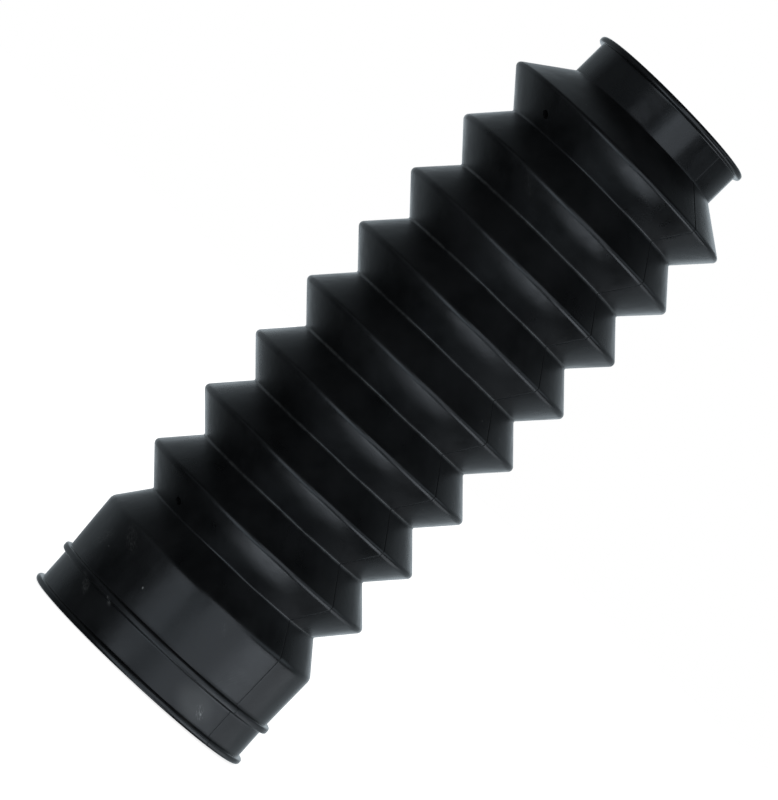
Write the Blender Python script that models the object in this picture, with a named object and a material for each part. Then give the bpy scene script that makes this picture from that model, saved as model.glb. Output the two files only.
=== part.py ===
"""Fork gaiter: the rubber bellows that covers a motorbike's fork tube, moulded in one piece.

It stands on its clamp cuff, with the folds above it and the small collar on top. The axis is Z,
the origin is the centre of the bottom face, and the two breather holes face -Y.
"""
import math
from collections import namedtuple

import bmesh
import bpy
from mathutils import Matrix, Vector

# Folds, metres
FOLDS = 8
FOLD_PITCH = 0.01774
CREST_RADIUS = 0.0337
VALLEY_RADIUS = 0.0259
CREST_ROUND = 0.00135

# Rubber wall, measured square to the surface
WALL = 0.0017

# Collar, the small end that grips the fork tube
COLLAR_RADIUS = 0.0225
COLLAR_LENGTH = 0.01057
COLLAR_RISE = 0.00844          # from the highest crest up to the collar's root

# Body and clamp cuff, the wide end that fits over the fork leg
SHOULDER_RADIUS = 0.0325
SHOULDER_HEIGHT = 0.02688
SHOULDER_ROUND = 0.0012
SHOULDER_RISE = 0.0080         # from the shoulder up to the lowest valley
CUFF_RADIUS = 0.03185

# Bead round the body, above the seat of the clamp band
BEAD_HEIGHT = 0.01076          # its middle, above the bottom face
BEAD_WIDTH = 0.00195
BEAD_OVERHANG = 0.0013
BEAD_ROUND = 0.0009

# Lip round each end, which keeps a clamp band from slipping off
LIP_HEIGHT = 0.00175
LIP_OVERHANG = 0.00126
LIP_ROUND = 0.0008

# Breather holes, one in the lower flank of the highest fold and one in that of the lowest
BREATHER_DIAMETER = 0.0021
HIGH_BREATHER_DROP = 0.60      # share of the flank, from the crest to the valley
LOW_BREATHER_DROP = 0.68
BREATHER_AZIMUTH = math.radians(-90)

# Mesh fineness
TURN_STEPS = 56
CREST_STEPS = 3
EDGE_STEPS = 2
BREATHER_SIDES = 16
SMOOTH_ANGLE = math.radians(50)
ROUNDING_SHARE = 0.96          # most of a side that its roundings may take

RUBBER_COLOUR = (0.016, 0.017, 0.018, 1.0)
RUBBER_ROUGHNESS = 0.42

LOWEST_VALLEY = SHOULDER_HEIGHT + SHOULDER_RISE
LOWEST_CREST = LOWEST_VALLEY + FOLD_PITCH / 2
HIGHEST_CREST = LOWEST_CREST + (FOLDS - 1) * FOLD_PITCH
COLLAR_ROOT = HIGHEST_CREST + COLLAR_RISE
TOTAL_HEIGHT = COLLAR_ROOT + COLLAR_LENGTH

Corner = namedtuple("Corner", "radius height rounding steps", defaults=(0.0, 1))


def clear_scene():
    """Remove the objects that the scene starts with."""
    for thing in list(bpy.data.objects):
        bpy.data.objects.remove(thing)


def rubber():
    """The moulded rubber: near black, with a soft sheen."""
    material = bpy.data.materials.new("rubber")
    material.use_nodes = True
    shader = material.node_tree.nodes["Principled BSDF"]
    shader.inputs["Base Color"].default_value = RUBBER_COLOUR
    shader.inputs["Roughness"].default_value = RUBBER_ROUGHNESS
    shader.inputs["Metallic"].default_value = 0.0
    return material


def crest_corner_radius():
    """The radius where a fold's two flanks would meet if its crest weren't rounded.

    Each flank runs from the valley to the round crest and touches it as a tangent.
    """
    reach = CREST_RADIUS - CREST_ROUND - VALLEY_RADIUS
    half_pitch = FOLD_PITCH / 2
    to_centre = math.atan2(half_pitch, reach)
    to_tangent = math.asin(CREST_ROUND / math.hypot(reach, half_pitch))
    return VALLEY_RADIUS + half_pitch / math.tan(to_centre - to_tangent)


def folds():
    """The corners of the folds from the highest crest down to the lowest valley."""
    corner_radius = crest_corner_radius()
    corners = []
    for fold in range(FOLDS):
        crest = HIGHEST_CREST - fold * FOLD_PITCH
        corners.append(Corner(corner_radius, crest, CREST_ROUND, CREST_STEPS))
        corners.append(Corner(VALLEY_RADIUS, crest - FOLD_PITCH / 2))
    return corners


def shoulder():
    """The corner between the lowest flank and the body."""
    return Corner(SHOULDER_RADIUS, SHOULDER_HEIGHT, SHOULDER_ROUND, EDGE_STEPS)


def skin():
    """The outer skin from the top face down, without its lips and bead."""
    collar = [Corner(COLLAR_RADIUS, TOTAL_HEIGHT), Corner(COLLAR_RADIUS, COLLAR_ROOT)]
    cuff = [Corner(CUFF_RADIUS, BEAD_HEIGHT), Corner(CUFF_RADIUS, 0)]
    return collar + folds() + [shoulder()] + cuff


def set_in(line, depth):
    """A downward line moved towards the axis by a depth that is square to each of its sides."""
    points = [Vector(corner[:2]) for corner in line]
    normals = []
    for above, below in zip(points, points[1:]):
        along = (below - above).normalized()
        normals.append(Vector((along.y, -along.x)))
    normals = [normals[0]] + normals + [normals[-1]]
    moved = []
    for point, first, second in zip(points, normals, normals[1:]):
        moved.append(point + (first + second) * depth / (1 + first.dot(second)))
    return moved


def inner_corners():
    """The inner skin from the bottom up: sharp in each crest, and round over each valley."""
    line = skin()
    corners = []
    for outer, point in zip(line, set_in(line, WALL)):
        folded = outer.height > SHOULDER_HEIGHT and outer.height < TOTAL_HEIGHT
        rounding = WALL if folded and not outer.rounding else 0.0
        corners.append(Corner(point.x, point.y, rounding))
    return corners[::-1]


def nose(root, overhang, low, high, rounding):
    """The two round corners of a lip or a bead that stands out from a root radius."""
    tip = root + overhang
    return [Corner(tip, high, rounding, EDGE_STEPS), Corner(tip, low, rounding, EDGE_STEPS)]


def outer_corners():
    """The outer side from the top face down to the bottom face."""
    lip_root = TOTAL_HEIGHT - LIP_HEIGHT
    collar = nose(COLLAR_RADIUS, LIP_OVERHANG, lip_root, TOTAL_HEIGHT, LIP_ROUND)
    collar += [Corner(COLLAR_RADIUS, lip_root), Corner(COLLAR_RADIUS, COLLAR_ROOT)]
    bead_low = BEAD_HEIGHT - BEAD_WIDTH / 2
    bead_high = BEAD_HEIGHT + BEAD_WIDTH / 2
    taper = (SHOULDER_RADIUS - CUFF_RADIUS) / (SHOULDER_HEIGHT - BEAD_HEIGHT)
    bead = [Corner(CUFF_RADIUS + taper * BEAD_WIDTH / 2, bead_high)]
    bead += nose(CUFF_RADIUS, BEAD_OVERHANG, bead_low, bead_high, BEAD_ROUND)
    bead += [Corner(CUFF_RADIUS, bead_low)]
    lip = [Corner(CUFF_RADIUS, LIP_HEIGHT)]
    lip += nose(CUFF_RADIUS, LIP_OVERHANG, 0, LIP_HEIGHT, LIP_ROUND)
    return collar + folds() + [shoulder()] + bead + lip


def room(corner, neighbour):
    """The length of the side to a neighbour that a corner's rounding may take."""
    share = ROUNDING_SHARE / 2 if neighbour.rounding else ROUNDING_SHARE
    return math.dist(corner[:2], neighbour[:2]) * share


def rounded(before, corner, after):
    """The points of one corner's arc, or the corner itself where it stays sharp."""
    point = Vector(corner[:2])
    if not corner.rounding:
        return [point]
    back = (Vector(before[:2]) - point).normalized()
    ahead = (Vector(after[:2]) - point).normalized()
    half_angle = back.angle(ahead) / 2
    wanted = corner.rounding / math.tan(half_angle)
    reach = min(wanted, room(corner, before), room(corner, after))
    radius = reach * math.tan(half_angle)
    inward = (back + ahead).normalized()
    centre = point + inward * radius / math.sin(half_angle)
    start = point + back * reach - centre
    sweep = start.angle_signed(point + ahead * reach - centre)
    points = []
    for step in range(corner.steps + 1):
        turn = Matrix.Rotation(-sweep * step / corner.steps, 2)
        points.append(centre + turn @ start)
    return points


def outline():
    """The closed outline of the wall: down the outer side, then up the inner side."""
    corners = outer_corners() + inner_corners()
    points = []
    for index, corner in enumerate(corners):
        after = corners[(index + 1) % len(corners)]
        points += rounded(corners[index - 1], corner, after)
    return points


def gaiter(material):
    """Spin the wall's outline once round the axis."""
    mesh = bpy.data.meshes.new("gaiter")
    model = bmesh.new()
    ring = [model.verts.new((point.x, 0, point.y)) for point in outline()]
    edges = [model.edges.new((ring[index - 1], ring[index])) for index in range(len(ring))]
    bmesh.ops.spin(model, geom=ring + edges, cent=(0, 0, 0), axis=(0, 0, 1), dvec=(0, 0, 0),
                   angle=math.tau, steps=TURN_STEPS, use_merge=True, use_duplicate=False)
    bmesh.ops.recalc_face_normals(model, faces=model.faces)
    model.to_mesh(mesh)
    model.free()
    mesh.shade_smooth()
    mesh.set_sharp_from_angle(angle=SMOOTH_ANGLE)
    mesh.materials.append(material)
    body = bpy.data.objects.new("gaiter", mesh)
    bpy.context.collection.objects.link(body)
    return body


def breather_cutter(name, crest, drop):
    """A rod that goes square through the lower flank of the fold with its crest at a height."""
    top = Vector((crest_corner_radius(), crest))
    bottom = Vector((VALLEY_RADIUS, crest - FOLD_PITCH / 2))
    along = (bottom - top).normalized()
    middle = top.lerp(bottom, drop)
    outward = Matrix.Rotation(BREATHER_AZIMUTH, 4, "Z")
    tilt = Matrix.Rotation(math.atan2(-along.y, along.x), 4, "Y")
    place = outward @ Matrix.Translation((middle.x, 0, middle.y)) @ tilt
    mesh = bpy.data.meshes.new(name)
    model = bmesh.new()
    bmesh.ops.create_cone(model, cap_ends=True, segments=BREATHER_SIDES,
                          radius1=BREATHER_DIAMETER / 2, radius2=BREATHER_DIAMETER / 2,
                          depth=4 * WALL, matrix=place)
    model.to_mesh(mesh)
    model.free()
    cutter = bpy.data.objects.new(name, mesh)
    bpy.context.collection.objects.link(cutter)
    cutter.hide_render = True
    cutter.display_type = "WIRE"
    return cutter


def cut(body, cutter):
    """Take a cutter's shape out of a body."""
    boolean = body.modifiers.new(cutter.name, "BOOLEAN")
    boolean.operation = "DIFFERENCE"
    boolean.solver = "EXACT"
    boolean.object = cutter


def main():
    clear_scene()
    body = gaiter(rubber())
    cut(body, breather_cutter("high_breather", HIGHEST_CREST, HIGH_BREATHER_DROP))
    cut(body, breather_cutter("low_breather", LOWEST_CREST, LOW_BREATHER_DROP))


main()
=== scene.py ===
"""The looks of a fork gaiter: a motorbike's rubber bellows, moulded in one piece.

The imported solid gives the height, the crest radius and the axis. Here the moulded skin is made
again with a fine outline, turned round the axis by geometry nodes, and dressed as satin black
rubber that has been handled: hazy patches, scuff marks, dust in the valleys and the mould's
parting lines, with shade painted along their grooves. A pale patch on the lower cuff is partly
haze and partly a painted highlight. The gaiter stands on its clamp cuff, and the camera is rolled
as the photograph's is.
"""

import logging
import math
from dataclasses import dataclass
from enum import Enum
from typing import NamedTuple

import bmesh
import bpy
from mathutils import Euler, Matrix, Vector


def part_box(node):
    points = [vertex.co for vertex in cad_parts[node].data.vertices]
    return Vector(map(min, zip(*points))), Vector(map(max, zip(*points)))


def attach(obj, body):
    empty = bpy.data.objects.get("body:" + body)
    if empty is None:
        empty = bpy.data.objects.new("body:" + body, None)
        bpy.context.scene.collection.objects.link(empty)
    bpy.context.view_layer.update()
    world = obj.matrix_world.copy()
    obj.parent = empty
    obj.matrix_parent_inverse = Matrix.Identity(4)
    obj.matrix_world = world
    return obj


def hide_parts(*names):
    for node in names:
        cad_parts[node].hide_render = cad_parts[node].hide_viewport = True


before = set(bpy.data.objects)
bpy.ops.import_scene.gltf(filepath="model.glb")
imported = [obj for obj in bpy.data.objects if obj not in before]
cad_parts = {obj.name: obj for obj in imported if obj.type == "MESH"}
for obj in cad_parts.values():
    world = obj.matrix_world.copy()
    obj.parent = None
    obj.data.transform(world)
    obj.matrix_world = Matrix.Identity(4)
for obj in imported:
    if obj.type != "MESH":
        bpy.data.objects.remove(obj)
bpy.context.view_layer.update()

LOG = logging.getLogger("fork_gaiter")
MM = 0.001
NODE = "gaiter"
BODY = "root"

# The mesh's attributes: each point's place before the bow, and 1 on the outer skin
MOULDED = "moulded"
SKIN = "outer_skin"

SHARP_ANGLE = math.radians(40)
CREST_FACET = 0.04 * MM        # how far the solid's facets stay inside its crest radius
ROUNDING_SHARE = 0.96          # most of a side that its corners' arcs may take
MERGE_DISTANCE = 0.002 * MM
UNEVEN_SCALE = 45.0            # of the noise that makes the skin uneven
COLLAR_GROOVE = 0.3            # share of the parting grooves' depth left on the collar

SOCKET_KINDS = {int: "Int", float: "Float", Vector: "Vector", Euler: "Rotation",
                bpy.types.Material: "Material"}

Socket = bpy.types.NodeSocket
Value = float | int | Socket
Span = tuple[float, float]
Colour = tuple[float, float, float, float]


class Side(Enum):
    """Which skin of the wall a row of the outline lies on."""

    OUTER = 1.0
    INNER = 0.0


class Corner(NamedTuple):
    """One corner of the wall's outline, with the arc that rounds it."""

    radius: float
    height: float
    rounding: float
    steps: int


class Row(NamedTuple):
    """One point of the finished outline, which turns into a ring of the mesh."""

    radius: float
    height: float
    side: Side


class Graph:
    """A node tree under construction, with short calls for the nodes used often."""

    def __init__(self, tree: bpy.types.NodeTree) -> None:
        """Keep the tree that the nodes go into."""
        self.tree = tree

    def add(self, kind: str, inputs: dict | None = None, **settings: object) -> bpy.types.Node:
        """Add a node, set its options, and link or set its inputs.

        Args:
            kind: The node's type name.
            inputs: Values or sockets by the input's name or number.
            settings: The node's own options by name.

        Returns:
            The new node.
        """
        node = self.tree.nodes.new(kind)
        for name, value in settings.items():
            setattr(node, name, value)
        for name, value in (inputs or {}).items():
            self.put(node.inputs[name], value)
        return node

    def put(self, socket: Socket, value: object) -> None:
        """Link a socket to an input, or write a plain value there."""
        if isinstance(value, Socket):
            self.tree.links.new(value, socket)
        else:
            socket.default_value = value

    def math(self, operation: str, first: Value, second: Value = 0.0) -> Socket:
        """Work out a number by an operation of the Math node."""
        return self.add("ShaderNodeMath", {0: first, 1: second}, operation=operation).outputs[0]

    def product(self, first: Value, *others: Value) -> Socket:
        """Multiply numbers."""
        for other in others:
            first = self.math("MULTIPLY", first, other)
        return first

    def noise(self, place: Socket, scale: float, detail: float = 2.0, **inputs: float) -> Socket:
        """Read a smooth noise.

        Args:
            place: The place where it is read.
            scale: How fine it is.
            detail: How many finer layers it has.
            inputs: The noise's other inputs by name.

        Returns:
            The socket of a number from 0 to 1.
        """
        given = {"Vector": place, "Scale": scale, "Detail": detail, **inputs}
        return self.add("ShaderNodeTexNoise", given).outputs[0]

    def vector(self, operation: str, first: object, second: object = None,
               scale: Value = 1.0) -> Socket:
        """Work out a vector, or the number that LENGTH and DOT_PRODUCT give.

        Args:
            operation: The Vector Math node's operation.
            first: The first vector.
            second: The second vector, where there is one.
            scale: The factor of the SCALE operation.

        Returns:
            The result's socket.
        """
        inputs: dict = {0: first}
        if second is not None:
            inputs[1] = second
        if operation == "SCALE":
            inputs["Scale"] = scale
        outputs = self.add("ShaderNodeVectorMath", inputs, operation=operation).outputs
        return outputs["Value" if operation in ("LENGTH", "DOT_PRODUCT") else "Vector"]

    def fade(self, value: Value, low: float, high: float, start: float = 0.0,
             end: float = 1.0) -> Socket:
        """Change smoothly from one number to another while a value crosses a range.

        Args:
            value: The value that is watched.
            low: Where the change starts.
            high: Where it ends.
            start: The result below low.
            end: The result above high.

        Returns:
            The result's socket.
        """
        node = self.add("ShaderNodeMapRange", {0: value, 1: low, 2: high, 3: start, 4: end},
                        interpolation_type="SMOOTHSTEP")
        return node.outputs[0]

    def blend(self, share: Value, first: object, second: object) -> Socket:
        """Mix two colours, where the share is the second one's, from 0 to 1."""
        node = self.add("ShaderNodeMix", {"Factor": share}, data_type="RGBA")
        self.put(node.inputs[6], first)
        self.put(node.inputs[7], second)
        return node.outputs[2]


def add_object(name: str, data: bpy.types.ID) -> bpy.types.Object:
    """Make an object of a mesh, a lamp or a camera, and link it to the scene."""
    thing = bpy.data.objects.new(name, data)
    bpy.context.scene.collection.objects.link(thing)
    return thing


def bare_graph(owner: bpy.types.Material | bpy.types.World) -> Graph:
    """Turn on the nodes of a material or a world, and clear them for building."""
    owner.use_nodes = True
    owner.node_tree.nodes.clear()
    return Graph(owner.node_tree)


@dataclass(frozen=True)
class View:
    """The photograph's camera: where it stands round the gaiter, and how it is rolled."""

    azimuth: float = math.radians(42.5)
    roll: float = math.radians(43.36)
    distance: float = 1144 * MM
    aim_height: float = 88.88 * MM
    aim_right: float = 0.74 * MM
    lens_mm: float = 214.5
    sensor_mm: float = 36.0

    @property
    def right(self) -> Vector:
        """The direction to the right of the upright gaiter, as the camera sees it."""
        return Vector((math.cos(self.azimuth), math.sin(self.azimuth), 0))

    @property
    def back(self) -> Vector:
        """The direction from the gaiter to the camera."""
        return Vector((math.sin(self.azimuth), -math.cos(self.azimuth), 0))

    def direction(self, azimuth: float, elevation: float) -> Vector:
        """Turn angles round the gaiter into a direction.

        Args:
            azimuth: The angle from the camera towards the right.
            elevation: The angle above the level.

        Returns:
            The unit vector.
        """
        level = self.back * math.cos(azimuth) + self.right * math.sin(azimuth)
        return level * math.cos(elevation) + Vector((0, 0, math.sin(elevation)))

    def build(self) -> None:
        """Make the camera, and set it as the scene's own."""
        data = bpy.data.cameras.new("photo_camera")
        data.lens = self.lens_mm
        data.sensor_width = self.sensor_mm
        data.clip_start = 10 * MM
        camera = add_object("photo_camera", data)
        up = Vector((0, 0, 1))
        screen_right = self.right * math.cos(self.roll) + up * math.sin(self.roll)
        screen_up = up * math.cos(self.roll) - self.right * math.sin(self.roll)
        aim = self.right * self.aim_right + up * self.aim_height
        place = Matrix((screen_right, screen_up, self.back)).transposed().to_4x4()
        place.translation = aim + self.back * self.distance
        camera.matrix_world = place
        bpy.context.scene.camera = camera


@dataclass(frozen=True)
class Softbox:
    """One soft lamp, placed round the gaiter by angles from the camera."""

    name: str
    azimuth: float
    elevation: float
    distance: float
    width: float
    height: float
    radiance: float
    aim_height: float = 90 * MM
    colour: tuple[float, float, float] = (0.90, 0.95, 1.0)

    def build(self, view: View) -> None:
        """Hang the lamp and turn it to the gaiter.

        Args:
            view: The camera that the angles count from.
        """
        data = bpy.data.lights.new(self.name, "AREA")
        data.shape = "RECTANGLE"
        data.size = self.width
        data.size_y = self.height
        data.energy = self.radiance * math.pi * self.width * self.height
        data.color = self.colour
        lamp = add_object(self.name, data)
        aim = Vector((0, 0, self.aim_height))
        way = view.direction(math.radians(self.azimuth), math.radians(self.elevation))
        lamp.location = aim + way * self.distance
        lamp.rotation_euler = way.to_track_quat("Z", "Y").to_euler()
        lamp.visible_camera = False


@dataclass(frozen=True)
class ScuffAndSheen:
    """A patch of short worn strokes on the outer skin, placed by the camera's azimuth. With broad
    strokes it is a pale patch. The one on the lower cuff is partly haze and partly a painted
    highlight.

    The azimuth and the slant are in degrees. A stroke is as wide as stroke says, and a larger bare
    leaves more clean skin between the strokes.
    """

    azimuth: float
    height: float
    length: float
    width: float
    slant: float
    stroke: float
    strength: float
    bare: float = 0.46
    stroke_edge: float = 0.2
    stroke_ratio: float = 6.0
    full_reach: float = 0.25

    def mask(self, graph: Graph, skin: "SkinPlace") -> Socket:
        """Work out how much of the patch's marks a point carries.

        Args:
            graph: The rubber's node tree.
            skin: The point's place on the skin.

        Returns:
            The patch's share, from 0 to 1.
        """
        centre = skin.view.azimuth - math.pi / 2 + math.radians(self.azimuth)
        turned = graph.math("SUBTRACT", skin.azimuth, centre - math.pi)
        turned = graph.math("SUBTRACT", graph.math("FLOORED_MODULO", turned, math.tau), math.pi)
        across = graph.product(turned, skin.radius)
        up = graph.math("SUBTRACT", skin.height, self.height)
        slant = math.radians(self.slant)
        along = graph.math("ADD", graph.product(across, math.cos(slant)),
                           graph.product(up, math.sin(slant)))
        beside = graph.math("SUBTRACT", graph.product(up, math.cos(slant)),
                            graph.product(across, math.sin(slant)))
        flat = graph.add("ShaderNodeCombineXYZ", {"X": along, "Y": beside}).outputs[0]
        reach = graph.vector("DIVIDE", flat, (self.length, self.width, 1.0))
        reach = graph.vector("LENGTH", reach)
        patch = graph.fade(reach, self.full_reach, 1.0, 1.0, 0.0)
        size = (self.stroke_ratio * self.stroke, self.stroke, 1.0)
        noise = graph.noise(graph.vector("DIVIDE", flat, size), 1.0)
        strokes = graph.fade(noise, self.bare, self.bare + self.stroke_edge)
        return graph.product(patch, strokes, self.strength)


@dataclass(frozen=True)
class SkinPlace:
    """Where a shaded point lies on the gaiter, before the gaiter was bowed."""

    view: View
    point: Socket
    azimuth: Socket
    height: Socket
    radius: Socket
    outer: Socket

    @classmethod
    def read(cls, graph: Graph, view: View) -> "SkinPlace":
        """Read the place from the piece's own attributes.

        Args:
            graph: The rubber's node tree.
            view: The camera that the scuffs' azimuths count from.

        Returns:
            The place.
        """
        point = graph.add("ShaderNodeAttribute", attribute_name=MOULDED).outputs["Vector"]
        apart = graph.add("ShaderNodeSeparateXYZ", {0: point}).outputs
        level = graph.add("ShaderNodeCombineXYZ", {"X": apart["X"], "Y": apart["Y"]}).outputs[0]
        radius = graph.vector("LENGTH", level)
        azimuth = graph.math("ARCTAN2", apart["Y"], apart["X"])
        outer = graph.add("ShaderNodeAttribute", attribute_name=SKIN).outputs["Fac"]
        return cls(view, point, azimuth, apart["Z"], radius, outer)


@dataclass(frozen=True)
class RubberFinish:
    """Satin black moulded rubber that has been handled and has gathered some dust."""

    black: Colour = (0.0029, 0.0032, 0.0035, 1.0)
    haze: Colour = (0.0072, 0.0077, 0.0084, 1.0)
    dust: Colour = (0.060, 0.066, 0.066, 1.0)
    # pale grey of the worn strokes, and of the cuff patch that is partly a painted highlight
    scuff_and_sheen_colour: Colour = (0.260, 0.275, 0.280, 1.0)
    # painted shade: near black along the parting grooves
    seam_shade: Colour = (0.0022, 0.0022, 0.0022, 1.0)
    tint: Colour = (0.90, 0.945, 1.0, 1.0)
    smooth: float = 0.27
    rough: float = 0.38
    collar_roughness: float = 0.85
    blotch_scale: float = 55.0
    blotch_roughness: float = 0.4
    fleck_scale: float = 420.0
    smear_scale: tuple[float, float, float] = (300.0, 300.0, 60.0)
    blotch_share: float = 0.6
    fleck_share: float = 0.12
    smear_share: float = 0.28
    shade_range: Span = (0.30, 0.70)
    speck_scale: float = 260.0
    speck_edge: Span = (0.03, 0.07)
    speck_pick: float = 0.93
    speck_strength: float = 0.8
    peel_scale: float = 330.0
    peel_detail: float = 1.5
    peel_depth: float = 0.035 * MM
    grain_scale: float = 2600.0
    grain_depth: float = 0.008 * MM
    dust_reach: Span = (0.15 * MM, 0.55 * MM)
    dust_scale: float = 520.0
    dust_patches: Span = (0.3, 0.7)
    dust_strength: Span = (0.05, 0.30)
    seam_reach: Span = (0.6, 2.0)
    seam_strength: float = 0.9
    seam_at_ends: float = 0.4
    seam_roughness: float = 0.45
    scuff_and_sheen_roughness: float = 0.12
    scuffs_and_sheen: tuple[ScuffAndSheen, ...] = (
        ScuffAndSheen(33.3, 5.2 * MM, 3.2 * MM, 1.8 * MM, -42, 0.24 * MM, 0.75),
        ScuffAndSheen(34.6, 4.8 * MM, 0.6 * MM, 0.35 * MM, -42, 0.40 * MM, 0.95, 0.0),
        ScuffAndSheen(-29, 9.7 * MM, 1.4 * MM, 0.8 * MM, -45, 0.17 * MM, 0.6),
        ScuffAndSheen(-45, 8.7 * MM, 3.4 * MM, 1.6 * MM, -45, 0.16 * MM, 0.22),
        ScuffAndSheen(-42, 24.0 * MM, 5.0 * MM, 2.2 * MM, -35, 0.20 * MM, 0.10),
        ScuffAndSheen(-57, 19.0 * MM, 5.0 * MM, 2.6 * MM, 50, 0.20 * MM, 0.12),
        ScuffAndSheen(-21.5, 17.5 * MM, 0.4 * MM, 0.3 * MM, -60, 0.40 * MM, 0.6, 0.0),
        ScuffAndSheen(16, 23.5 * MM, 2.2 * MM, 1.0 * MM, -45, 0.20 * MM, 0.10),
        ScuffAndSheen(33, 15.5 * MM, 6.0 * MM, 3.5 * MM, 65, 0.45 * MM, 0.04),
        # a broad pale patch on the lower cuff where its highlight falls: partly haze, partly a
        # painted highlight
        ScuffAndSheen(29, 6.0 * MM, 8.0 * MM, 5.5 * MM, -10, 1.50 * MM, 0.15, 0.1),
        ScuffAndSheen(-20, 147.8 * MM, 3.5 * MM, 1.5 * MM, -40, 0.25 * MM, 0.06),
    )

    def shades(self, graph: Graph, skin: SkinPlace) -> Socket:
        """Vary the gloss and the haze in soft blotches, as handled rubber has them.

        Args:
            graph: The rubber's node tree.
            skin: The point's place on the skin.

        Returns:
            A number from 0, clean and glossy, to 1, hazy and dull.
        """
        blotches = graph.noise(skin.point, self.blotch_scale, Roughness=self.blotch_roughness)
        flecks = graph.noise(skin.point, self.fleck_scale)
        stretched = graph.vector("MULTIPLY", skin.point, self.smear_scale)
        smears = graph.noise(stretched, 1.0)
        mixed = graph.math("ADD", graph.product(blotches, self.blotch_share),
                           graph.product(flecks, self.fleck_share))
        mixed = graph.math("ADD", mixed, graph.product(smears, self.smear_share))
        return graph.fade(mixed, *self.shade_range)

    def specks(self, graph: Graph, skin: SkinPlace) -> Socket:
        """Scatter a few pale specks of dust.

        Args:
            graph: The rubber's node tree.
            skin: The point's place on the skin.

        Returns:
            The specks' share, from 0 to 1.
        """
        cells = graph.add("ShaderNodeTexVoronoi",
                          {"Vector": skin.point, "Scale": self.speck_scale})
        dot = graph.fade(cells.outputs["Distance"], *self.speck_edge, 1.0, 0.0)
        pick = graph.add("ShaderNodeSeparateColor", {0: cells.outputs["Color"]}).outputs[0]
        return graph.product(dot, graph.math("GREATER_THAN", pick, self.speck_pick))

    def relief(self, graph: Graph, skin: SkinPlace) -> Socket:
        """Give the skin the mould's fine grain and a slight orange peel.

        Args:
            graph: The rubber's node tree.
            skin: The point's place on the skin.

        Returns:
            The bumped normal's socket.
        """
        grain = graph.noise(skin.point, self.grain_scale)
        peel = graph.noise(skin.point, self.peel_scale, self.peel_detail)
        low = graph.add("ShaderNodeBump", {"Strength": 1.0, "Distance": self.peel_depth,
                                           "Height": peel}).outputs[0]
        return graph.add("ShaderNodeBump", {"Strength": 1.0, "Distance": self.grain_depth,
                                            "Height": grain, "Normal": low}).outputs[0]

    def dusty(self, graph: Graph, skin: SkinPlace, sizes: "Gaiter") -> Socket:
        """Let dust settle in the valleys in patches, and add the specks.

        Args:
            graph: The rubber's node tree.
            skin: The point's place on the skin.
            sizes: The gaiter, whose sizes place the valleys.

        Returns:
            The dust's share, from 0 to 1.
        """
        above = graph.math("GREATER_THAN", skin.height, sizes.shoulder_height)
        below = graph.math("LESS_THAN", skin.height, sizes.highest_crest)
        folded = graph.product(above, below)
        low, high = (sizes.valley_radius + reach for reach in self.dust_reach)
        deep = graph.fade(skin.radius, low, high, 1.0, 0.0)
        noise = graph.noise(skin.point, self.dust_scale)
        patchy = graph.fade(noise, *self.dust_patches, *self.dust_strength)
        valley = graph.product(deep, folded, patchy, skin.outer)
        specks = graph.product(self.specks(graph, skin), self.speck_strength)
        return graph.math("MAXIMUM", valley, specks)

    def seam(self, graph: Graph, skin: SkinPlace, sizes: "Gaiter") -> Socket:
        """Paint shade along the parting lines' grooves, fainter on the cuff and the collar.

        Args:
            graph: The rubber's node tree.
            skin: The point's place on the skin.
            sizes: The gaiter, whose sizes place the lines.

        Returns:
            The painted shade's share, from 0 to 1, which also roughens the lines.
        """
        plane = (-math.sin(sizes.parting_azimuth), math.cos(sizes.parting_azimuth), 0.0)
        aside = graph.vector("DOT_PRODUCT", skin.point, plane)
        near, far = (reach * sizes.parting_width for reach in self.seam_reach)
        line = graph.fade(graph.math("ABSOLUTE", aside), near, far, self.seam_strength, 0.0)
        on_body = graph.fade(skin.height, sizes.bead_height, sizes.shoulder_height,
                             self.seam_at_ends, 1.0)
        on_collar = graph.fade(skin.height, sizes.collar_root, sizes.collar_root + MM,
                               1.0, self.seam_at_ends)
        return graph.product(line, skin.outer, on_body, on_collar)

    def build(self, sizes: "Gaiter", view: View) -> bpy.types.Material:
        """Make the material.

        Args:
            sizes: The gaiter, whose sizes place the dust and the parting lines.
            view: The camera that the scuffs' azimuths count from.

        Returns:
            The rubber material.
        """
        material = bpy.data.materials.new("satin_rubber")
        material.use_nodes = True
        graph = Graph(material.node_tree)
        shader = material.node_tree.nodes["Principled BSDF"]
        skin = SkinPlace.read(graph, view)
        shade = self.shades(graph, skin)
        seam = self.seam(graph, skin, sizes)
        rubbed_and_sheen: Value = 0.0
        for scuff in self.scuffs_and_sheen:
            rubbed_and_sheen = graph.math("MAXIMUM", rubbed_and_sheen, scuff.mask(graph, skin))
        rubbed_and_sheen = graph.product(rubbed_and_sheen, skin.outer)
        colour = graph.blend(shade, self.black, self.haze)
        colour = graph.blend(self.dusty(graph, skin, sizes), colour, self.dust)
        # worn strokes, and the cuff patch that is partly a painted highlight
        colour = graph.blend(rubbed_and_sheen, colour, self.scuff_and_sheen_colour)
        # painted shade along the parting grooves
        colour = graph.blend(seam, colour, self.seam_shade)
        graph.put(shader.inputs["Base Color"], colour)
        gloss = graph.fade(shade, 0.0, 1.0, self.smooth, self.rough)
        polish = graph.fade(skin.height, sizes.collar_root, sizes.collar_root + MM,
                            1.0, self.collar_roughness)
        gloss = graph.product(gloss, polish)
        gloss = graph.math("ADD", gloss, graph.product(seam, self.seam_roughness))
        gloss = graph.math("ADD", gloss, graph.product(rubbed_and_sheen, self.scuff_and_sheen_roughness))
        graph.put(shader.inputs["Roughness"], gloss)
        shader.inputs["Specular Tint"].default_value = self.tint
        graph.put(shader.inputs["Normal"], self.relief(graph, skin))
        return material


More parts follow.
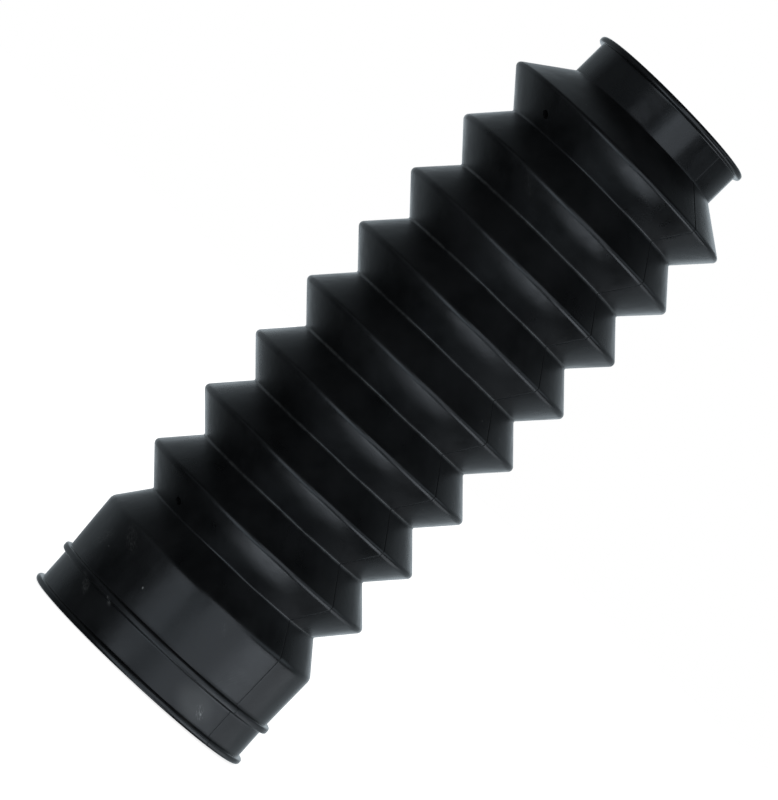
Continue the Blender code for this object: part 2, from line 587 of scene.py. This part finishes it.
@dataclass(frozen=True)
class Gaiter:
    """The one moulded piece: collar, folds, shoulder, body with its bead, and clamp cuff.

    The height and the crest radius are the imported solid's. The other sizes are the part's own,
    apart from softer corners, rounded valleys, the parting lines and the bow.
    """

    total_height: float
    crest_radius: float
    folds: int = 8
    fold_pitch: float = 17.74 * MM
    valley_radius: float = 25.9 * MM
    end_valley_radius: float = 26.25 * MM
    crest_round: float = 1.25 * MM
    top_crest_round: float = 0.95 * MM
    valley_round: float = 0.5 * MM
    wall: float = 1.7 * MM
    collar_radius: float = 22.5 * MM
    collar_length: float = 10.57 * MM
    collar_rise: float = 8.44 * MM
    shoulder_radius: float = 32.5 * MM
    shoulder_height: float = 26.88 * MM
    shoulder_round: float = 2.6 * MM
    cuff_radius: float = 31.85 * MM
    bead_height: float = 10.76 * MM
    bead_width: float = 1.82 * MM
    bead_overhang: float = 1.3 * MM
    bead_round: float = 0.93 * MM
    lip_height: float = 1.65 * MM
    lip_overhang: float = 1.26 * MM
    lip_round: float = 0.80 * MM
    root_round: float = 0.3 * MM
    breather_diameter: float = 2.1 * MM
    high_breather_drop: float = 0.60
    low_breather_drop: float = 0.68
    breather_azimuth: float = math.radians(-90)
    breather_sides: int = 40
    breather_walls: float = 4.0
    parting_azimuth: float = -0.022
    parting_depth: float = 0.15 * MM
    parting_width: float = 0.13 * MM
    parting_gather: float = 0.47
    bow_centre: float = 84 * MM
    bow_rate: float = 0.37
    low_tilt_share: float = 0.20
    unevenness: float = 0.05 * MM
    turn_steps: int = 224
    crest_steps: int = 8
    edge_steps: int = 6
    side_rows: int = 7
    inner_side_rows: int = 2
    hollow_steps: int = 3
    row_gap: float = 0.4 * MM

    @property
    def collar_root(self) -> float:
        """The height where the highest flank meets the collar."""
        return self.total_height - self.collar_length

    @property
    def highest_crest(self) -> float:
        """The height of the highest fold's crest."""
        return self.collar_root - self.collar_rise

    def crest(self, fold: int) -> float:
        """The height of a fold's crest, counted from the highest fold as 0."""
        return self.highest_crest - fold * self.fold_pitch

    @property
    def crest_corner(self) -> float:
        """The radius where a fold's flanks would meet if its crest weren't rounded."""
        reach = self.crest_radius - self.crest_round - self.valley_radius
        half_pitch = self.fold_pitch / 2
        to_centre = math.atan2(half_pitch, reach)
        to_tangent = math.asin(self.crest_round / math.hypot(reach, half_pitch))
        return self.valley_radius + half_pitch / math.tan(to_centre - to_tangent)

    def fold_corners(self) -> list[Corner]:
        """List the outer corners from the highest crest down to the shoulder."""
        corners = []
        for fold in range(self.folds):
            crest = self.crest(fold)
            rounding = self.crest_round if fold else self.top_crest_round
            corners.append(Corner(self.crest_corner, crest, rounding, self.crest_steps))
            end = fold in (0, self.folds - 1)
            radius = self.end_valley_radius if end else self.valley_radius
            valley = crest - self.fold_pitch / 2
            corners.append(Corner(radius, valley, self.valley_round, self.edge_steps))
        corners.append(Corner(self.shoulder_radius, self.shoulder_height, self.shoulder_round,
                              self.edge_steps))
        return corners

    def skin(self) -> list[Corner]:
        """List the outer corners from the top face down, without the lips and the bead."""
        sharp = (0.0, 1)
        corners = [Corner(self.collar_radius, self.total_height, *sharp)]
        corners.append(Corner(self.collar_radius, self.collar_root, *sharp))
        corners += self.fold_corners()
        corners.append(Corner(self.cuff_radius, self.bead_height, *sharp))
        corners.append(Corner(self.cuff_radius, 0.0, *sharp))
        return corners

    def nose(self, root: float, overhang: float, low: float, high: float,
             rounding: float) -> list[Corner]:
        """List the two round corners of a lip or a bead, upper one first.

        Args:
            root: The radius that it stands on.
            overhang: How far it stands out.
            low: Its lower side's height.
            high: Its upper side's height.
            rounding: The radius of its corners.

        Returns:
            The two corners.
        """
        tip = root + overhang
        steps = self.edge_steps
        return [Corner(tip, high, rounding, steps), Corner(tip, low, rounding, steps)]

    def root_corner(self, radius: float, height: float) -> Corner:
        """A hollow corner, where a lip, a bead or a flank grows out of the wall."""
        return Corner(radius, height, self.root_round, self.hollow_steps)

    def outer_corners(self) -> list[Corner]:
        """List the outer side's corners from the top face down to the bottom face."""
        lip_root = self.total_height - self.lip_height
        corners = self.nose(self.collar_radius, self.lip_overhang, lip_root, self.total_height,
                            self.lip_round)
        corners.append(self.root_corner(self.collar_radius, lip_root))
        corners.append(self.root_corner(self.collar_radius, self.collar_root))
        corners += self.fold_corners()
        low = self.bead_height - self.bead_width / 2
        high = self.bead_height + self.bead_width / 2
        drop = self.shoulder_height - self.bead_height
        taper = (self.shoulder_radius - self.cuff_radius) / drop
        corners.append(self.root_corner(self.cuff_radius + taper * self.bead_width / 2, high))
        corners += self.nose(self.cuff_radius, self.bead_overhang, low, high, self.bead_round)
        corners.append(self.root_corner(self.cuff_radius, low))
        corners.append(self.root_corner(self.cuff_radius, self.lip_height))
        corners += self.nose(self.cuff_radius, self.lip_overhang, 0.0, self.lip_height,
                             self.lip_round)
        return corners

    def inner_corners(self) -> list[Corner]:
        """List the inner side's corners from the bottom face up to the top face."""
        line = self.skin()
        points = [Vector((corner.radius, corner.height)) for corner in line]
        normals = []
        for above, below in zip(points, points[1:]):
            along = (below - above).normalized()
            normals.append(Vector((along.y, -along.x)))
        normals = [normals[0]] + normals + [normals[-1]]
        corners = []
        for outer, point, first, second in zip(line, points, normals, normals[1:]):
            inner = point + (first + second) * self.wall / (1 + first.dot(second))
            folded = self.shoulder_height < outer.height < self.total_height
            hollow = folded and outer.rounding not in (self.crest_round, self.top_crest_round)
            rounding = self.wall if hollow else self.root_round
            if outer.height == self.bead_height:
                rounding = 0.0
            corners.append(Corner(inner.x, inner.y, rounding, self.hollow_steps))
        return corners[::-1]

    def outline(self) -> list[Row]:
        """Work out the closed outline: down the outer side, then up the inner side."""
        outer = self.outer_corners()
        corners = outer + self.inner_corners()
        arcs = []
        for index, corner in enumerate(corners):
            after = corners[(index + 1) % len(corners)]
            arcs.append(arc_points(corners[index - 1], corner, after))
        rows = []
        for index, points in enumerate(arcs):
            side = Side.OUTER if index < len(outer) else Side.INNER
            rows += [Row(point.x, point.y, side) for point in points]
            start, end = points[-1], arcs[(index + 1) % len(arcs)][0]
            length = (end - start).length
            count = self.side_rows if side is Side.OUTER else self.inner_side_rows
            count = min(count, int(length / self.row_gap))
            for step in range(1, count):
                share = (1 - math.cos(math.pi * step / count)) / 2
                point = start.lerp(end, share)
                rows.append(Row(point.x, point.y, side))
        return rows

    def breather(self, fold: int, drop: float) -> tuple[Vector, Euler]:
        """Place one breather hole in the lower flank of a fold.

        Args:
            fold: The fold, counted from the highest as 0.
            drop: The share of the flank from the crest to the valley.

        Returns:
            The hole's middle and its turn.
        """
        crest = self.crest(fold)
        top = Vector((self.crest_corner, crest))
        bottom = Vector((self.valley_radius, crest - self.fold_pitch / 2))
        along = (bottom - top).normalized()
        middle = top.lerp(bottom, drop)
        outward = Matrix.Rotation(self.breather_azimuth, 4, "Z")
        tilt = Matrix.Rotation(math.atan2(-along.y, along.x), 4, "Y")
        place = outward @ Matrix.Translation((middle.x, 0, middle.y)) @ tilt
        return place.to_translation(), place.to_euler()

    def build(self, view: View, rubber: bpy.types.Material) -> bpy.types.Object:
        """Turn the outline into the finished piece.

        Args:
            view: The camera, which shows the bow from the side.
            rubber: The finish.

        Returns:
            The piece, as a plain mesh.
        """
        rows = self.outline()
        mesh = bpy.data.meshes.new("gaiter_outline")
        count = len(rows)
        edges = [(index, (index + 1) % count) for index in range(count)]
        mesh.from_pydata([(row.radius, 0.0, row.height) for row in rows], edges, [])
        outer = mesh.attributes.new("outer", "FLOAT", "POINT")
        for item, row in zip(outer.data, rows):
            item.value = row.side.value
        piece = add_object("gaiter_rubber", mesh)
        high_place, turn = self.breather(0, self.high_breather_drop)
        low_place, _ = self.breather(self.folds - 1, self.low_breather_drop)
        values = {
            "Turn steps": self.turn_steps,
            "Parting azimuth": self.parting_azimuth,
            "Parting depth": self.parting_depth,
            "Parting width": self.parting_width,
            "Parting gather": self.parting_gather,
            "Parting top": self.collar_root,
            "Unevenness": self.unevenness,
            "Breather diameter": self.breather_diameter,
            "Breather sides": self.breather_sides,
            "Breather depth": self.breather_walls * self.wall,
            "High breather": high_place,
            "Low breather": low_place,
            "Breather turn": turn,
            "Bow centre": self.bow_centre,
            "Bow rate": self.bow_rate,
            "Low tilt share": self.low_tilt_share,
            "Bow direction": view.right,
            "Rubber": rubber,
        }
        modifier = piece.modifiers.new("turn", "NODES")
        modifier.node_group = lathe_tree(values)
        set_inputs(modifier, values)
        return bake(piece)


def arc_points(before: Corner, corner: Corner, after: Corner) -> list[Vector]:
    """Round one corner by an arc, no longer than its sides leave room for.

    Args:
        before: The corner before it.
        corner: The corner to round.
        after: The corner after it.

    Returns:
        The arc's points, or the corner itself where it stays sharp.
    """
    point = Vector((corner.radius, corner.height))
    if not corner.rounding:
        return [point]
    sides = []
    room = []
    for neighbour in (before, after):
        side = Vector((neighbour.radius, neighbour.height)) - point
        room.append(side.length * ROUNDING_SHARE / (2 if neighbour.rounding else 1))
        sides.append(side.normalized())
    back, ahead = sides
    half_angle = back.angle(ahead) / 2
    reach = min(corner.rounding / math.tan(half_angle), *room)
    radius = reach * math.tan(half_angle)
    centre = point + (back + ahead).normalized() * radius / math.sin(half_angle)
    start = point + back * reach - centre
    sweep = start.angle_signed(point + ahead * reach - centre)
    points = []
    for step in range(corner.steps + 1):
        turn = Matrix.Rotation(-sweep * step / corner.steps, 2)
        points.append(centre + turn @ start)
    return points


def lathe_tree(values: dict[str, object]) -> bpy.types.NodeTree:
    """Build the tree that turns an outline round the axis and finishes the gaiter's shape.

    The outline's rows become rings of a grid. The rings get a fine groove along the parting lines
    and are made slightly uneven, the breather holes are cut, and both ends are bowed a little.

    Args:
        values: The values of the tree's inputs by name, which give each input its kind.

    Returns:
        The node group, with named inputs.
    """
    tree = bpy.data.node_groups.new("turn_gaiter", "GeometryNodeTree")
    interface = tree.interface
    interface.new_socket("Geometry", in_out="OUTPUT", socket_type="NodeSocketGeometry")
    interface.new_socket("Geometry", in_out="INPUT", socket_type="NodeSocketGeometry")
    for name, value in values.items():
        kind = "NodeSocket" + SOCKET_KINDS[type(value)]
        interface.new_socket(name, in_out="INPUT", socket_type=kind)
    graph = Graph(tree)
    given = graph.add("NodeGroupInput").outputs
    rings = ring_grid(graph, given)
    cut = breather_holes(graph, given, rings)
    position = graph.add("GeometryNodeInputPosition").outputs[0]
    kept = graph.add("GeometryNodeStoreNamedAttribute",
                     {"Geometry": cut, "Name": MOULDED, "Value": position},
                     data_type="FLOAT_VECTOR", domain="POINT").outputs[0]
    bowed = graph.add("GeometryNodeSetPosition",
                      {"Geometry": kept, "Position": bowed_place(graph, given)}).outputs[0]
    bend = graph.add("GeometryNodeInputMeshEdgeAngle").outputs["Unsigned Angle"]
    gentle = graph.add("FunctionNodeCompare", {0: bend, 1: SHARP_ANGLE},
                       data_type="FLOAT", operation="LESS_THAN").outputs[0]
    rounded = graph.add("GeometryNodeSetShadeSmooth", {"Geometry": bowed}).outputs[0]
    smooth = graph.add("GeometryNodeSetShadeSmooth",
                       {"Geometry": rounded, "Shade Smooth": gentle}, domain="EDGE").outputs[0]
    real = graph.add("GeometryNodeRealizeInstances", {"Geometry": smooth}).outputs[0]
    dressed = graph.add("GeometryNodeSetMaterial",
                        {"Geometry": real, "Material": given["Rubber"]}).outputs[0]
    graph.add("NodeGroupOutput", {"Geometry": dressed})
    return tree


def ring_grid(graph: Graph, given: bpy.types.NodeOutputs) -> Socket:
    """Make the grid whose rows are the outline and whose columns go round the axis.

    Args:
        graph: The tree under construction.
        given: The tree's inputs.

    Returns:
        The closed, uneven mesh with its parting grooves.
    """
    outline = given["Geometry"]
    size = graph.add("GeometryNodeAttributeDomainSize", {0: outline}, component="MESH")
    rows = size.outputs["Point Count"]
    grid = graph.add("GeometryNodeMeshGrid", {
        "Vertices X": graph.math("ADD", given["Turn steps"], 1),
        "Vertices Y": graph.math("ADD", rows, 1),
    }).outputs["Mesh"]
    index = graph.add("GeometryNodeInputIndex").outputs[0]
    tall = graph.math("ADD", rows, 1)
    column = graph.math("FLOOR", graph.math("DIVIDE", index, tall))
    row = graph.math("FLOORED_MODULO", index, tall)
    even = graph.product(graph.math("DIVIDE", column, given["Turn steps"]), math.tau)
    gathered = graph.product(graph.math("SINE", graph.product(even, 2.0)),
                             graph.product(given["Parting gather"], -1.0))
    from_parting = graph.math("ADD", even, gathered)
    azimuth = graph.math("ADD", from_parting, given["Parting azimuth"])

    def sampled(offset: int, name: str | None = None) -> Socket:
        """Read the outline at a row some steps on: its place, or a named number."""
        number = graph.math("FLOORED_MODULO", graph.math("ADD", row, offset), rows)
        if name is None:
            value = graph.add("GeometryNodeInputPosition").outputs[0]
            kind = "FLOAT_VECTOR"
        else:
            value = graph.add("GeometryNodeInputNamedAttribute", {"Name": name},
                              data_type="FLOAT").outputs[0]
            kind = "FLOAT"
        node = graph.add("GeometryNodeSampleIndex",
                         {"Geometry": outline, "Value": value, "Index": number},
                         data_type=kind, domain="POINT")
        return node.outputs[0]

    here = sampled(0)
    tangent = graph.vector("SUBTRACT", sampled(1), sampled(-1))
    outward = graph.vector("CROSS_PRODUCT", (0.0, 1.0, 0.0), tangent)
    outward = graph.vector("SCALE", graph.vector("NORMALIZE", outward), scale=-1.0)
    apart = graph.add("ShaderNodeSeparateXYZ", {0: here})
    arc = graph.product(graph.math("ABSOLUTE", graph.math("SINE", from_parting)),
                        apart.outputs["X"])
    near = graph.math("DIVIDE", arc, given["Parting width"])
    groove = graph.math("EXPONENT", graph.product(graph.math("POWER", near, 2.0), -1.0))
    past_top = graph.math("SUBTRACT", apart.outputs["Z"], given["Parting top"])
    faint = graph.fade(past_top, 0.0, MM, 1.0, COLLAR_GROOVE)
    groove = graph.product(groove, given["Parting depth"], faint)
    spin = graph.add("ShaderNodeVectorRotate",
                     {"Vector": here, "Axis": (0.0, 0.0, 1.0), "Angle": azimuth}).outputs[0]
    noise = graph.noise(spin, UNEVEN_SCALE)
    swell = graph.product(graph.math("SUBTRACT", noise, 0.5),
                          graph.product(given["Unevenness"], 2.0))
    outer = sampled(0, "outer")
    lift = graph.product(graph.math("SUBTRACT", swell, groove), outer)
    raised = graph.vector("ADD", here, graph.vector("SCALE", outward, scale=lift))
    place = graph.add("ShaderNodeVectorRotate",
                      {"Vector": raised, "Axis": (0.0, 0.0, 1.0), "Angle": azimuth}).outputs[0]
    marked = graph.add("GeometryNodeStoreNamedAttribute",
                       {"Geometry": grid, "Name": SKIN, "Value": outer},
                       data_type="FLOAT", domain="POINT").outputs[0]
    placed = graph.add("GeometryNodeSetPosition", {"Geometry": marked, "Position": place})
    closed = graph.add("GeometryNodeMergeByDistance",
                       {"Geometry": placed.outputs[0], "Distance": MERGE_DISTANCE})
    return closed.outputs[0]


def breather_holes(graph: Graph, given: bpy.types.NodeOutputs, rings: Socket) -> Socket:
    """Cut the two breather holes.

    Args:
        graph: The tree under construction.
        given: The tree's inputs.
        rings: The turned mesh.

    Returns:
        The mesh with its holes.
    """
    pin = graph.add("GeometryNodeMeshCylinder", {
        "Vertices": given["Breather sides"],
        "Radius": graph.product(given["Breather diameter"], 0.5),
        "Depth": given["Breather depth"],
    }).outputs["Mesh"]
    pins = graph.add("GeometryNodeJoinGeometry")
    for name in ("High breather", "Low breather"):
        placed = graph.add("GeometryNodeTransform", {
            "Geometry": pin,
            "Translation": given[name],
            "Rotation": given["Breather turn"],
        }).outputs[0]
        graph.tree.links.new(placed, pins.inputs[0])
    cut = graph.add("GeometryNodeMeshBoolean", operation="DIFFERENCE", solver="EXACT")
    graph.tree.links.new(rings, cut.inputs[0])
    graph.tree.links.new(pins.outputs[0], cut.inputs[1])
    return cut.outputs[0]


def bowed_place(graph: Graph, given: bpy.types.NodeOutputs) -> Socket:
    """Work out where each point goes when both ends lean over in a gentle bow.

    Args:
        graph: The tree under construction.
        given: The tree's inputs.

    Returns:
        The bowed place's socket.
    """
    position = graph.add("GeometryNodeInputPosition").outputs[0]
    height = graph.add("ShaderNodeSeparateXYZ", {0: position}).outputs["Z"]
    along = graph.math("SUBTRACT", height, given["Bow centre"])
    angle = graph.product(along, given["Bow rate"])
    lean = graph.vector("DOT_PRODUCT", position, given["Bow direction"])
    shift = graph.product(along, angle, 0.5)
    sideways = graph.vector("SCALE", given["Bow direction"], scale=shift)
    low_angle = graph.product(graph.math("MINIMUM", angle, 0.0), given["Low tilt share"])
    tilt = graph.math("ADD", graph.math("MAXIMUM", angle, 0.0), low_angle)
    dip = graph.product(tilt, lean, -1.0)
    down = graph.add("ShaderNodeCombineXYZ", {"Z": dip}).outputs[0]
    moved = graph.vector("ADD", position, sideways)
    return graph.vector("ADD", moved, down)


def set_inputs(modifier: bpy.types.NodesModifier, values: dict[str, object]) -> None:
    """Set a geometry nodes modifier's inputs by their names.

    Args:
        modifier: The modifier.
        values: The values by input name.
    """
    names = {}
    for item in modifier.node_group.interface.items_tree:
        if item.item_type == "SOCKET" and item.in_out == "INPUT":
            names[item.name] = item.identifier
    for name, value in values.items():
        modifier[names[name]] = value


def bake(piece: bpy.types.Object) -> bpy.types.Object:
    """Replace a piece's mesh by what its modifiers make of it, and remove them.

    Args:
        piece: The object.

    Returns:
        The same object, with a plain mesh.
    """
    graph = bpy.context.evaluated_depsgraph_get()
    mesh = bpy.data.meshes.new_from_object(piece.evaluated_get(graph), depsgraph=graph)
    piece.modifiers.clear()
    piece.data = mesh
    mesh.name = piece.name
    return piece


@dataclass(frozen=True)
class TentPanel:
    """One patch of the light tent's cloth that lets light through, by angles from the camera."""

    azimuth: float
    half_width: float
    elevation: float
    half_height: float
    soft: float
    radiance: float

    def shine(self, graph: Graph, azimuth: Socket, elevation: Socket) -> Socket:
        """Work out how much of the panel's light comes from a direction.

        Args:
            graph: The tent cloth's node tree.
            azimuth: The direction's azimuth in degrees.
            elevation: The direction's elevation in degrees.

        Returns:
            The radiance's socket.
        """
        turned = graph.math("ADD", azimuth, 180.0 - self.azimuth)
        wrapped = graph.math("FLOORED_MODULO", turned, 360.0)
        aside = graph.math("ABSOLUTE", graph.math("SUBTRACT", wrapped, 180.0))
        across = graph.fade(aside, self.half_width, self.half_width + self.soft, 1.0, 0.0)
        off = graph.math("ABSOLUTE", graph.math("SUBTRACT", elevation, self.elevation))
        upward = graph.fade(off, self.half_height, self.half_height + self.soft, 1.0, 0.0)
        return graph.product(across, upward, self.radiance)


@dataclass(frozen=True)
class Studio:
    """The pale floor, the white surroundings, the soft lamps and the dark light tent."""

    view: View
    floor_size: float = 60.0
    floor_gap: float = 0.4 * MM
    floor_colour: Colour = (0.8, 0.8, 0.8, 1.0)
    floor_glow: float = 0.85
    fill: float = 0.45
    tent_radius: float = 3.0
    tent_centre: float = 90 * MM
    tent_level: float = 0.014
    cloth: Colour = (0.82, 0.93, 1.0, 1.0)
    panels: tuple[TentPanel, ...] = (
        TentPanel(-152, 24, 0, 7, 40, 0.32),
        TentPanel(152, 12, -7, 6, 38, 0.31),
        TentPanel(-150, 25, 42, 8, 28, 0.10),
        TentPanel(150, 25, 42, 8, 24, 0.08),
        TentPanel(40, 60, -82, 8, 20, 0.05),
        TentPanel(20, 28, -48, 12, 18, 0.16),
        TentPanel(-6, 14, -38, 12, 18, 1.3),
        TentPanel(146, 10, -30, 5, 12, 0.13),
        TentPanel(146, 10, 31, 5, 12, 0.11),
        TentPanel(-62, 22, 14, 6, 14, 0.11),
        TentPanel(-146, 10, -32, 6, 14, 0.07),
        TentPanel(-160, 10, 53, 14, 14, 0.13),
        TentPanel(85, 25, 22, 5, 10, 0.7),
        TentPanel(12, 8, 9, 4, 7, 0.40),
        TentPanel(180, 12, 4, 16, 12, 0.7),
    )
    lamps: tuple[Softbox, ...] = (
        Softbox("left_window", -21, -10, 1.3, 0.60, 0.85, 1.00),
        Softbox("front_softbox", 28, 3, 1.3, 0.88, 1.3, 1.15),
        Softbox("right_softbox", 70, -23, 0.7, 0.50, 0.42, 2.2),
        Softbox("side_softbox", 106, -22, 0.7, 0.42, 0.40, 0.88),
        Softbox("low_softbox", 56, -79, 0.8, 0.34, 0.34, 2.4),
    )

    def seen(self, graph: Graph) -> Socket:
        """Tell the rays that see the white surroundings: the camera's, mirrored and clear ones."""
        path = graph.add("ShaderNodeLightPath").outputs
        seen = graph.math("MAXIMUM", path["Is Camera Ray"], path["Is Glossy Ray"])
        return graph.math("MAXIMUM", seen, path["Is Transmission Ray"])

    def world(self) -> None:
        """Light the scene evenly, and show the surroundings as white."""
        world = bpy.data.worlds.new("white_surroundings")
        graph = bare_graph(world)
        strength = graph.fade(self.seen(graph), 0.0, 1.0, self.fill, 1.0)
        white = (1.0, 1.0, 1.0, 1.0)
        background = graph.add("ShaderNodeBackground", {"Color": white, "Strength": strength})
        graph.add("ShaderNodeOutputWorld", {"Surface": background.outputs[0]})
        bpy.context.scene.world = world

    def put(self, name: str, model: bmesh.types.BMesh,
            material: bpy.types.Material) -> bpy.types.Object:
        """Turn a finished mesh into an object that isn't part of the gaiter.

        Args:
            name: The object's name.
            model: The mesh, which is freed.
            material: Its only material.

        Returns:
            The object.
        """
        mesh = bpy.data.meshes.new(name)
        model.to_mesh(mesh)
        model.free()
        mesh.materials.append(material)
        thing = add_object(name, mesh)
        return thing

    def floor(self) -> None:
        """Lay the pale floor, which takes the gaiter's shadow."""
        model = bmesh.new()
        bmesh.ops.create_grid(model, x_segments=1, y_segments=1, size=self.floor_size / 2)
        bmesh.ops.translate(model, verts=model.verts, vec=(0, 0, -self.floor_gap))
        material = bpy.data.materials.new("pale_floor")
        graph = bare_graph(material)
        strength = graph.product(self.seen(graph), self.floor_glow)
        glow = graph.add("ShaderNodeEmission", {"Strength": strength})
        matt = graph.add("ShaderNodeBsdfDiffuse", {"Color": self.floor_colour})
        both = graph.add("ShaderNodeAddShader", {0: glow.outputs[0], 1: matt.outputs[0]})
        graph.add("ShaderNodeOutputMaterial", {"Surface": both.outputs[0]})
        floor = self.put("floor", model, material)
        floor.visible_glossy = False
        floor.visible_shadow = False

    def tent(self) -> None:
        """Hang the dark tent with its pale panels, which only reflections see."""
        model = bmesh.new()
        bmesh.ops.create_icosphere(model, subdivisions=4, radius=self.tent_radius)
        bmesh.ops.translate(model, verts=model.verts, vec=(0, 0, self.tent_centre))
        material = bpy.data.materials.new("tent_cloth")
        graph = bare_graph(material)
        place = graph.add("ShaderNodeTexCoord").outputs["Object"]
        way = graph.vector("SUBTRACT", place, (0.0, 0.0, self.tent_centre))
        way = graph.vector("NORMALIZE", way)
        right = graph.vector("DOT_PRODUCT", way, tuple(self.view.right))
        back = graph.vector("DOT_PRODUCT", way, tuple(self.view.back))
        up = graph.add("ShaderNodeSeparateXYZ", {0: way}).outputs["Z"]
        azimuth = graph.math("DEGREES", graph.math("ARCTAN2", right, back))
        elevation = graph.math("DEGREES", graph.math("ARCSINE", up))
        total: Value = self.tent_level
        for panel in self.panels:
            total = graph.math("ADD", total, panel.shine(graph, azimuth, elevation))
        cloth = graph.add("ShaderNodeEmission", {"Color": self.cloth, "Strength": total})
        graph.add("ShaderNodeOutputMaterial", {"Surface": cloth.outputs[0]})
        tent = self.put("light_tent", model, material)
        tent.visible_camera = False
        tent.visible_diffuse = False
        tent.visible_shadow = False
        tent.visible_transmission = False

    def build(self) -> None:
        """Set up the surroundings, the floor, the tent and the lamps."""
        self.world()
        self.floor()
        self.tent()
        for lamp in self.lamps:
            lamp.build(self.view)


def main() -> None:
    """Build the gaiter and the studio."""
    logging.basicConfig(level=logging.INFO, format="%(name)s: %(message)s")
    bpy.context.scene.view_settings.view_transform = "Standard"
    view = View()
    view.build()
    low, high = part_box(NODE)
    sizes = Gaiter(total_height=high[2] - low[2],
                   crest_radius=(high[0] - low[0]) / 2 + CREST_FACET)
    rubber = RubberFinish().build(sizes, view)
    piece = sizes.build(view, rubber)
    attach(piece, BODY)
    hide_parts(NODE)
    LOG.info("%s: %d faces", piece.name, len(piece.data.polygons))
    Studio(view).build()


if __name__ == "__main__":
    main()
